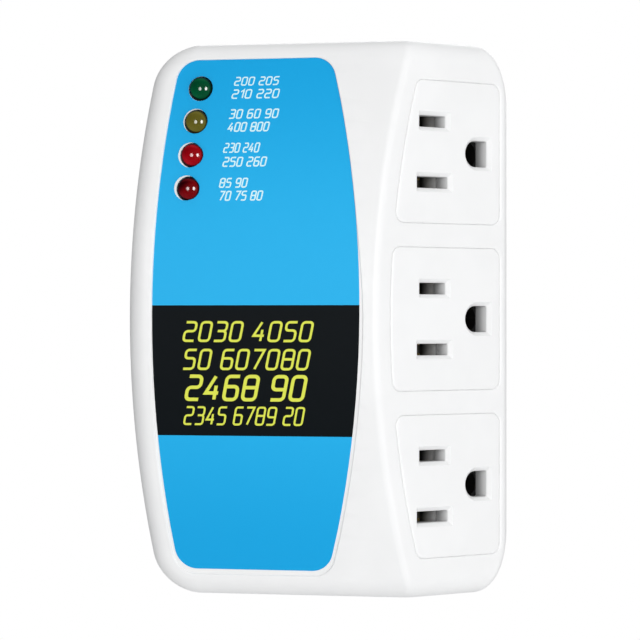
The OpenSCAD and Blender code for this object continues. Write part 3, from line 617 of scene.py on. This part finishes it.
def numeral_width(sign):
    return {" ": NUMERAL_SPACE, "1": NUMERAL_ONE}.get(sign, 1)


def make_marks(name, rows):
    """Slanted square numerals, each row fitted between its own limits, as a thin layer of ink."""
    bm = bmesh.new()
    for signs, left, right, low, high, weight in rows:
        tall = high - low
        pen = weight * tall
        units = sum(numeral_width(s) for s in signs) + NUMERAL_GAP * (len(signs) - 1)
        wide = (right - left - NUMERAL_SLANT * tall - pen) / units
        at = left + pen / 2
        for sign in signs:
            soft = 0 if sign in SHARP_NUMERALS else min(NUMERAL_ROUND * wide, NUMERAL_ROUND_TALL * tall)
            for layer, corners in enumerate(NUMERALS[sign]):
                def put(u, v, top, at=at, layer=layer):
                    sink = LABEL_SINK - top * INK_T * (1 + STROKE_LIFT * layer)
                    return on_dome(at + u + NUMERAL_SLANT * v, low + pen / 2 + v, sink)
                add_stroke(bm, numeral_path(corners, wide, tall - pen, soft), pen, put)
            at += wide * (numeral_width(sign) + NUMERAL_GAP)
    return piece(name, bm)


# Outlet faces
def make_outlet_face(name, row):
    at = row * PITCH

    def plate_outline(grow):
        return face_outline(at, grow - FACE_GAP - FACE_EDGE)

    rings = edge_rings(lambda g: plate_outline(FACE_EDGE - g), under_slant, FACE_EDGE,
                       FACE_DEPTH - FLANGE_T, over=0, steep=FACE_EDGE_STEEP)[1:]
    for depth in (FACE_DEPTH - FLANGE_T, FACE_DEPTH):
        rings.append([under_slant(u, v, depth) for u, v in face_outline(at, FLANGE, FLANGE_RIGHT)])
    face = loft(name, rings)
    outlines = (slot_outline(HOT_SLOT_L, at + HALF_PITCH), slot_outline(NEUTRAL_SLOT_L, at - HALF_PITCH),
                ground_outline(at))
    soft = OPENING_SOFT
    bm = bmesh.new()
    for outline in outlines:
        mouth = [(-OVER, OVER + OPENING_BEVEL), (soft, OPENING_BEVEL - soft), (OPENING_BEVEL - soft, soft),
                 (OPENING_BEVEL + soft, 0), (FACE_DEPTH + OVER, 0)]
        add_loft(bm, [[under_slant(u, v, down) for u, v in outline(grow)] for down, grow in mouth])
    for side in (1, -1):
        depths = (FACE_DEPTH - FLANGE_T, FACE_DEPTH + OVER)
        add_loft(bm, [pillar_ring(side, PILLAR_R + PILLAR_CLEAR, depth) for depth in depths])
    carve(face, piece("openings", bm))
    smooth(face)
    return face


# Lamps
def make_lamp(name, place):
    """A domed lamp, turned about its axis: dome, barrel and flange."""
    tip = place[1]
    turns = even(LAMP_TIP, math.pi / 2, 20)
    profile = [(LAMP_R * math.sin(t), LAMP_DOME * (1 - math.cos(t))) for t in turns]
    seat, wide, soft = LAMP_L - LAMP_FLANGE_T, LAMP_R + LAMP_FLANGE, LAMP_ROUND
    profile += [(LAMP_R, seat - soft), (LAMP_R + soft, seat), (wide - soft, seat),
                (wide, seat + soft), (wide, LAMP_L - soft), (wide - soft, LAMP_L)]
    lamp = loft(name, [ring(place, r, tip + down, LAMP_SIDES) for r, down in profile])
    smooth(lamp, 40)
    return lamp


# Shader maths
class Shade:
    """A socket of a material. Sums on it add Math nodes, and node() adds any other node."""

    def __init__(self, tree, socket=None):
        self.tree = tree
        self.socket = socket

    def node(self, kind, settings, sockets, out=0):
        made = self.tree.nodes.new("ShaderNode" + kind)
        for name, value in settings.items():
            setattr(made, name, value)
        for name, value in sockets.items():
            self.feed(made, name, value)
        return Shade(self.tree, made.outputs[out])

    def feed(self, node, name, value):
        if isinstance(value, Shade):
            self.tree.links.new(value.socket, node.inputs[name])
        else:
            node.inputs[name].default_value = value

    def maths(self, operation, *values):
        return self.node("Math", {"operation": operation}, dict(enumerate(values)))

    def __add__(self, other):
        return self.maths("ADD", self, other)

    def __sub__(self, other):
        return self.maths("SUBTRACT", self, other)

    def __rsub__(self, other):
        return self.maths("SUBTRACT", other, self)

    def __mul__(self, other):
        return self.maths("MULTIPLY", self, other)

    def __truediv__(self, other):
        return self.maths("DIVIDE", self, other)

    def __gt__(self, other):
        return self.maths("GREATER_THAN", self, other)

    def __lt__(self, other):
        return self.maths("LESS_THAN", self, other)

    def __pow__(self, other):
        return self.maths("POWER", self, other)

    __radd__ = __add__
    __rmul__ = __mul__

    def rise(self, low, high):
        """From 0 at low to 1 at high, softly."""
        settings = {"interpolation_type": "SMOOTHSTEP"}
        return self.node("MapRange", settings, {0: self, 1: low, 2: high})

    def mix(self, under, over):
        """One colour over another, by this value as the mask."""
        return self.node("Mix", {"data_type": "RGBA"}, {0: self, 6: under, 7: over}, out=2)


def opaque(red, green, blue):
    return (red, green, blue, 1)


def from_screen(red, green, blue):
    """A colour given as it looks on a screen, 0 to 255, as the linear colour that a shader takes."""
    def linear(value):
        share = value / 255
        return share / 12.92 if share <= 0.04045 else ((share + 0.055) / 1.055) ** 2.4
    return opaque(linear(red), linear(green), linear(blue))


def darker(color, share):
    return opaque(*[c * share for c in color[:3]])


def socket_name(key):
    return key.replace("_", " ").title().replace("Ior", "IOR")


class Finish:
    """One material: its shader, and where a point of the surface lies, in millimetres."""

    def __init__(self, name, **constants):
        self.material = bpy.data.materials.new(name)
        self.material.use_nodes = True
        tree = self.material.node_tree
        self.shader = tree.nodes["Principled BSDF"]
        for key, value in constants.items():
            self.shader.inputs[socket_name(key)].default_value = value
        self.start = Shade(tree)
        spot = self.start.node("TexCoord", {}, {}, "Object")
        self.place = spot.node("VectorMath", {"operation": "SCALE"}, {0: spot, "Scale": 1 / MM})

    def feed(self, **values):
        for key, value in values.items():
            self.start.feed(self.shader, socket_name(key), value)
        return self.material

    def axes(self):
        parts = self.place.node("SeparateXYZ", {}, {0: self.place})
        node = parts.socket.node
        return [Shade(parts.tree, node.outputs[i]) for i in range(3)]

    def outlet_axes(self):
        """How far down the slope from the crease a point lies, and how deep under the outlet side."""
        x, y = self.axes()[:2]
        right, back = x - CREASE_X, y + BODY_D
        return (right * math.cos(SLANT) + back * math.sin(SLANT),
                back * math.cos(SLANT) - right * math.sin(SLANT))

    def grain(self, per_mm, detail=2):
        return self.place.node("TexNoise", {}, {"Vector": self.place, "Scale": per_mm, "Detail": detail})

    def bump(self, height, depth, strength):
        sockets = {"Height": height, "Distance": depth * MM, "Strength": strength}
        return self.place.node("Bump", {}, sockets)


# Finishes
LABEL_BLUE = from_screen(39, 181, 239)
# Painted shade: the blue at the label's ends, where the dome turns away
LABEL_BLUE_END_SHADE = from_screen(21, 166, 228)
LABEL_BLUE_DEEP = from_screen(16, 170, 231)
BLUE_MIDDLE = 4
# How far from there the painted shade starts and ends to deepen the blue
BLUE_SHADE_FADE = (12, 56)
BAND_BLACK = from_screen(3, 11, 16)
BAND_GREY = from_screen(7, 15, 21)
BAND_HIGH = 2.86
BAND_LOW = -24.25
INK_WHITE = from_screen(216, 250, 255)
INK_GREEN = from_screen(226, 232, 84)
# Painted shade on the walls of the outlets' openings: grey below the bevel, darker at the foot
WELL_WALL_SHADE = from_screen(222, 222, 222)
WELL_FOOT_SHADE = from_screen(176, 176, 176)
# Painted shade on the nylon seen through the openings: its shadow, its lit upper walls and its ledge
NYLON_SHADOW = from_screen(14, 14, 15)
NYLON_WALL_LIT = from_screen(236, 236, 236)
NYLON_LEDGE_SHADE = from_screen(132, 132, 132)
# Depths under the outlet side: where the nylon's front ends, where painted shade darkens its walls, and where
# the painted shade stops
NYLON_FRONT = (4.3, 4.5)
NYLON_WALL_SHADE = (4.8, 9.4)
NYLON_UNSHADED = (9, 12)
# How far past the blades' line the openings' shade reaches
NYLON_SHADE = (5, 6)


def moulded_white(name, color, roughness, shaded_wells=False):
    """Satin white moulding with a very fine texture and a faint unevenness of gloss."""
    finish = Finish(name, Specular_Ior_Level=0.45)
    cloud = finish.grain(0.09)
    fine = finish.grain(14, detail=3)
    base = cloud.rise(0.3, 0.75).mix(darker(color, 0.975), color)
    if shaded_wells:
        # Painted shade: the walls of the openings are greyer than their bevels, and more so towards their
        # foot
        depth = finish.outlet_axes()[1]
        wall = depth.rise(OPENING_BEVEL, FACE_DEPTH).mix(WELL_WALL_SHADE, WELL_FOOT_SHADE)
        base = depth.rise(OPENING_BEVEL - 0.1, OPENING_BEVEL + 0.25).mix(base, wall)
    return finish.feed(
        Base_Color=base,
        Roughness=roughness + (fine - 0.5) * 0.12,
        Normal=finish.bump(fine, 0.004, 0.6))


def natural_nylon(name, color, roughness):
    """Moulded nylon, with painted shade, nearly black, where it lies under the openings."""
    finish = Finish(name, Specular_Ior_Level=0.3)
    grain = finish.grain(3, detail=3)
    along, depth = finish.outlet_axes()
    deep = darker(color, 0.85)
    unshaded = depth.rise(*NYLON_UNSHADED)
    by_blades = 1 - (along - BLADE_LINE).rise(*NYLON_SHADE)
    walls = ((1 - depth.rise(*NYLON_WALL_SHADE)) * by_blades).mix(NYLON_SHADOW, NYLON_WALL_LIT)
    painted_shade = depth.rise(*NYLON_FRONT).mix(by_blades.mix(NYLON_SHADOW, NYLON_LEDGE_SHADE), walls)
    return finish.feed(
        Base_Color=unshaded.mix(painted_shade, grain.rise(0.3, 0.75).mix(deep, color)),
        Roughness=roughness + (grain - 0.5) * 0.16,
        Normal=finish.bump(grain, 0.01, 0.5))


def printed_label():
    """Printed satin film: blue, with painted shade a little deeper towards its ends, and a black band."""
    finish = Finish("label_print", Specular_Ior_Level=0.12)
    z = finish.axes()[2]
    # Painted shade: the blue darkens towards the top and bottom of the dome
    ends = z.maths("ABSOLUTE", z - BLUE_MIDDLE).rise(*BLUE_SHADE_FADE)
    blue = ends.mix(LABEL_BLUE, LABEL_BLUE_END_SHADE)
    band = (z > BAND_LOW) * (z < BAND_HIGH)
    fine = finish.grain(9, detail=3)
    tone = finish.grain(0.5)
    ink = band.mix((tone * 0.15).mix(blue, LABEL_BLUE_DEEP), (tone * 0.5).mix(BAND_BLACK, BAND_GREY))
    return finish.feed(
        Base_Color=ink,
        Roughness=0.42 + (fine - 0.5) * 0.15 + band * 0.06,
        Normal=finish.bump(fine, 0.005, 0.4))


def printed_ink(name, color):
    """Screen-printed ink, a shade uneven where it lies thinner."""
    finish = Finish(name, Specular_Ior_Level=0.2)
    fine = finish.grain(7, detail=3)
    deep = darker(color, 0.93)
    return finish.feed(Base_Color=fine.rise(0.3, 0.8).mix(color, deep), Roughness=0.45 + fine * 0.1)


def tinted_resin(name, place, core, glow, rim, upper_left_shade):
    """Nearly opaque tinted resin, with painted light towards its lower left and along the top, and painted
    shade over its upper left and at its very edge.
    """
    finish = Finish(name, Ior=1.45, Specular_Ior_Level=0.06, Coat_Ior=2.1, Coat_Roughness=0.08)
    x, z = finish.axes()[::2]
    right, up = (x - place[0]) / LAMP_R, (z - place[2]) / LAMP_R
    out = (right * right + up * up) ** 0.5
    # Painted light: lighter towards the lower left and in an arc along the top. Painted shade: darker over
    # the upper left
    low_left = (right * -0.75 - up * 0.65).rise(0.1, 1)
    shade = low_left * 0.09
    top_highlight = out.rise(0.5, 0.75) * (1 - out.rise(0.8, 0.92)) * up.rise(0.45, 0.85) * 0.5
    haze = finish.grain(1.4)
    dusk = (up * 0.7 - right * 0.55).rise(-0.15, 0.6) * upper_left_shade
    body = low_left.mix((haze * 0.2).mix(core, rim), glow)
    lit = top_highlight.mix(dusk.mix(body, rim), glow)
    # The clear coat shows a gleam only right of the middle, and fades out before the edge
    gleam = up.rise(-0.4, -0.15) * (1 - up.rise(0.3, 0.5)) * right.rise(-0.35, 0.35)
    return finish.feed(
        # Painted shade: the edge darkens to the rim tint, wider at the lower left
        Base_Color=(out + shade).rise(0.86, 0.98).mix(lit, rim),
        Roughness=0.12 + haze * 0.06,
        Coat_Weight=gleam * (1 - out.rise(0.6, 0.85)))


def plain_plastic(name, color, roughness):
    finish = Finish(name)
    grain = finish.grain(3, detail=3)
    deep = darker(color, 0.82)
    return finish.feed(
        Base_Color=grain.rise(0.3, 0.75).mix(deep, color),
        Roughness=roughness + (grain - 0.5) * 0.16,
        Normal=finish.bump(grain, 0.01, 0.5))


def worked_metal(name, color, dull, roughness, streak=(1, 1, 1)):
    """Bare metal with fine rolling or plating marks, and a duller tone in patches."""
    finish = Finish(name, Metallic=1)
    long = finish.place.node("VectorMath", {"operation": "MULTIPLY"}, {0: finish.place, 1: streak})
    marks = long.node("TexNoise", {}, {"Vector": long, "Scale": 6, "Detail": 3})
    patch = finish.grain(0.6)
    return finish.feed(
        Base_Color=(patch.rise(0.35, 0.8) * 0.6).mix(color, dull),
        Roughness=roughness + (marks - 0.5) * 0.2 + patch * 0.05,
        Normal=finish.bump(marks, 0.006, 0.5))


def board_mask():
    """Green solder mask with broad copper tracks just showing through it."""
    finish = Finish("solder_mask")
    cells = {"Vector": finish.place, "Scale": 0.22}
    grid = finish.place.node("TexVoronoi", {"feature": "DISTANCE_TO_EDGE"}, cells)
    track = grid < 0.12
    fine = finish.grain(5)
    return finish.feed(
        Base_Color=track.mix(opaque(0.03, 0.2, 0.08), opaque(0.07, 0.32, 0.12)),
        Roughness=0.3 + fine * 0.1,
        Normal=finish.bump(track * 0.5 + fine * 0.1, 0.03, 0.6))


# Pieces
def dress(made, body, slot, material, *nodes):
    made.data.materials.clear()
    made.data.materials.append(material)
    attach(made, body)
    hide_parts(*nodes)


MOULD_WHITE = opaque(0.93, 0.93, 0.93)
shell_finish = moulded_white("shell_white", MOULD_WHITE, 0.34)
face_finish = moulded_white("face_white", MOULD_WHITE, 0.36, shaded_wells=True)
label_finish = printed_label()

dress(make_housing(), "protector", "white_shell", shell_finish, "front_housing")
dress(make_label(), "protector", "label_print", label_finish, "front_label")
for row, where in ((1, "top"), (0, "middle"), (-1, "bottom")):
    face = make_outlet_face("outlet_plate_" + where, row)
    dress(face, "protector", "white_face", face_finish, "outlet_face_" + where)

# Plain numerals on the label: white ones beside the lamps, green ones on the band. Each row has its signs,
# its left, right, low and high limits, and its stroke's width as a share of its height
WHITE_ROWS = (
    ("200 205", -15.9, -5.9, 48.74, 50.65, 0.145), ("210 220", -16.3, -5.7, 45.97, 48.0, 0.145),
    ("30 60 90", -16.65, -5.62, 41.74, 43.8, 0.145), ("400 800", -16.78, -7.48, 38.99, 41.05, 0.145),
    ("230 240", -17.5, -9.35, 34.58, 36.7, 0.135), ("250 260", -17.53, -7.73, 31.64, 33.75, 0.145),
    ("85 90", -18.1, -11.65, 27.25, 29.35, 0.145), ("70 75 80", -18.14, -8.32, 24.53, 26.65, 0.145),
)
GREEN_ROWS = (
    ("2030 4050", -25.53, 2.94, -4.78, -0.41, 0.115), ("50 607080", -25.59, 2.29, -10.6, -6.16, 0.115),
    ("2468 90", -25.28, 1.6, -17.06, -11.52, 0.13), ("2345 6789 20", -25.63, 0.85, -22.08, -18.12, 0.105),
)
for tone, rows, ink in (("white", WHITE_ROWS, INK_WHITE), ("green", GREEN_ROWS, INK_GREEN)):
    marks = make_marks(tone + "_marks", rows)
    dress(marks, "protector", "label_print", printed_ink(tone + "_ink", ink))

# Lamp tints: the body, its painted light at the lower left, its painted shade at the edge, and how much
# painted shade darkens its upper left
TINTS = {
    "led_green": (from_screen(2, 78, 44), from_screen(4, 98, 58), from_screen(1, 34, 24), 0.2),
    "led_amber": (from_screen(102, 96, 32), from_screen(118, 110, 46), from_screen(40, 38, 14), 0.1),
    "led_red": (from_screen(158, 4, 16), from_screen(188, 24, 38), from_screen(64, 3, 10), 0.3),
    "led_dark_red": (from_screen(124, 4, 11), from_screen(128, 18, 26), from_screen(26, 0, 4), 0.95),
}
for node, place in zip(LAMPS, lamp_places()):
    tint = tinted_resin(node.replace("led", "resin"), place, *TINTS[node])
    lamp = make_lamp(node.replace("led", "lamp"), place)
    dress(lamp, "protector", node.replace("led", "lamp"), tint, node)

# The carried-over nodes take the finish of their slot
CARRIED = {
    "white_shell": shell_finish,
    "white_face": face_finish,
    "label_print": label_finish,
    "nylon": natural_nylon("natural_nylon", opaque(0.78, 0.75, 0.66), 0.5),
    "brass": worked_metal("stamped_brass", opaque(0.83, 0.64, 0.3), opaque(0.62, 0.45, 0.2), 0.24,
                          (1, 0.1, 1)),
    "steel": worked_metal("zinc_plate", opaque(0.74, 0.75, 0.77), opaque(0.55, 0.56, 0.58), 0.3),
    "copper": worked_metal("copper", opaque(0.8, 0.42, 0.22), opaque(0.5, 0.22, 0.1), 0.3, (1, 1, 8)),
    "board": board_mask(),
    "relay_blue": plain_plastic("relay_blue", opaque(0.02, 0.12, 0.4), 0.35),
    "film_yellow": plain_plastic("film_yellow", opaque(0.8, 0.55, 0.06), 0.4),
    "epoxy_black": plain_plastic("epoxy_black", opaque(0.03, 0.03, 0.034), 0.5),
    "ceramic_tan": plain_plastic("lacquered_ceramic", opaque(0.62, 0.42, 0.24), 0.3),
    "wire_black": plain_plastic("black_insulation", opaque(0.02, 0.02, 0.022), 0.4),
    "wire_white": plain_plastic("white_insulation", opaque(0.8, 0.8, 0.78), 0.4),
    "wire_green": plain_plastic("green_insulation", opaque(0.02, 0.28, 0.07), 0.4),
}
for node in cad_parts.values():
    slot = node.data.materials[0].name
    if slot in CARRIED:
        node.data.materials[0] = CARRIED[slot]


# The cover, the plug and the screws at the back lose their knife edges
def soften(node, width):
    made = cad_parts[node]
    weld = made.modifiers.new("weld", "WELD")
    weld.merge_threshold = WELD
    bevel = made.modifiers.new("soft_edges", "BEVEL")
    bevel.width = width * MM
    bevel.segments = 3
    bevel.limit_method = "ANGLE"
    bevel.angle_limit = math.radians(40)
    bevel.harden_normals = True


SOFT_EDGES = {"rear_cover": 0.3, "line_blade": 0.16, "neutral_blade": 0.16, "ground_pin": 0.12,
              "housing_screws": 0.06}
for node, width in SOFT_EDGES.items():
    soften(node, width)


# Studio: a pale floor some way below, soft light, and the camera
SOFT_LIGHT = 0.556
LEFT_DARK = 0.56
FRONT_DARK = 0.97
# Directions, from -1 to 1, over which the shade fades from the left and the dark from the front
LEFT_FADE = (-1, 0)
FRONT_FADE = (-0.75, 0.1)
FLOOR_R = 940
FLOOR_BELOW = 250
# The floor fades out between these shares of its radius
FADE_START = 0.3
FADE_END = 0.98
# Each softbox: turn to the right, rise, distance, width and height in metres, and brightness
SOFTBOXES = (
    ("key", 28.5, 4.5, 0.95, 0.35, 0.35, 7.2),
    ("front", -12, 4, 0.95, 0.26, 0.3, 5.9),
    ("side", 60, 0, 0.95, 0.56, 0.8, 1.06),
    ("overhead", 20, 80, 0.9, 0.9, 0.9, 0.58),
    ("rear", 185, 20, 0.95, 0.66, 0.66, 1.6),
)
CAMERA_PLACE = (136.36, -589.2, -0.2)
CAMERA_LOOK = (-0.2334, 0.9724, 0)
SENSOR_W = 36
# Focal length and width of the view, in pixels of the photograph
FOCAL_PX = 2760
VIEW_PX = 640


def make_floor():
    """A pale round floor whose edge fades out, so that it meets the background without a line."""
    bm = bmesh.new()
    bmesh.ops.create_circle(bm, cap_ends=True, segments=96, radius=FLOOR_R * MM)
    mesh = bpy.data.meshes.new("floor")
    bm.to_mesh(mesh)
    bm.free()
    floor = bpy.data.objects.new("floor", mesh)
    floor.location = (0, 0, -FLOOR_BELOW * MM)
    bpy.context.scene.collection.objects.link(floor)
    finish = Finish("floor_pale")
    x, y = finish.axes()[:2]
    out = (x * x + y * y) ** 0.5
    tone = finish.grain(0.01)
    finish.feed(
        Base_Color=tone.mix(opaque(0.9, 0.9, 0.9), opaque(0.93, 0.93, 0.93)),
        Roughness=0.8 + tone * 0.1,
        Alpha=1 - out.rise(FADE_START * FLOOR_R, FADE_END * FLOOR_R))
    floor.data.materials.append(finish.material)


def add_softbox(name, turn, rise, far, wide, tall, glow):
    """A soft light some way round to the right of the front and up, which faces the object."""
    light = bpy.data.lights.new(name, "AREA")
    light.shape = "ELLIPSE"
    light.size = wide
    light.size_y = tall
    # The glow times pi and the area of the ellipse
    light.energy = glow * math.pi * wide * tall * math.pi / 4
    turn, rise = math.radians(turn), math.radians(rise)
    place = Vector((math.sin(turn) * math.cos(rise), -math.cos(turn) * math.cos(rise), math.sin(rise))) * far
    made = bpy.data.objects.new(name, light)
    made.location = place
    made.rotation_euler = (-place).to_track_quat("-Z", "Y").to_euler()
    bpy.context.scene.collection.objects.link(made)


def set_world():
    """The camera sees white. The object is lit by a softer grey, and what it mirrors is darker in front."""
    world = bpy.data.worlds.new("studio")
    bpy.context.scene.world = world
    world.use_nodes = True
    tree = world.node_tree
    tree.nodes.clear()
    start = Shade(tree)
    ray = start.node("LightPath", {}, {}, "Is Camera Ray")
    mirrored = Shade(tree, ray.socket.node.outputs["Is Glossy Ray"])
    way = start.node("TexCoord", {}, {}, "Generated")
    right = start.node("SeparateXYZ", {}, {0: way}, "X")
    back = Shade(tree, right.socket.node.outputs["Y"]).rise(*FRONT_FADE)
    left = 1 - right.rise(*LEFT_FADE)
    strength = SOFT_LIGHT * (1 - left * LEFT_DARK) * (1 - mirrored * (1 - back) * FRONT_DARK)
    seen = start.node("Background", {}, {"Color": opaque(1, 1, 1), "Strength": 1})
    lit = start.node("Background", {}, {"Color": opaque(0.98, 0.99, 1), "Strength": strength})
    both = start.node("MixShader", {}, {0: ray, 1: lit, 2: seen})
    out = tree.nodes.new("ShaderNodeOutputWorld")
    tree.links.new(both.socket, out.inputs["Surface"])


def add_camera():
    """At the photograph's angle: level with the middle, a little to the right of the front."""
    lens = bpy.data.cameras.new("camera")
    lens.sensor_width = SENSOR_W
    lens.lens = FOCAL_PX / VIEW_PX * SENSOR_W
    camera = bpy.data.objects.new("camera", lens)
    camera.location = Vector(CAMERA_PLACE) * MM
    camera.rotation_euler = Vector(CAMERA_LOOK).to_track_quat("-Z", "Y").to_euler()
    bpy.context.scene.collection.objects.link(camera)
    bpy.context.scene.camera = camera


make_floor()
set_world()
for softbox in SOFTBOXES:
    add_softbox(*softbox)
add_camera()
bpy.context.scene.view_settings.view_transform = "Standard"
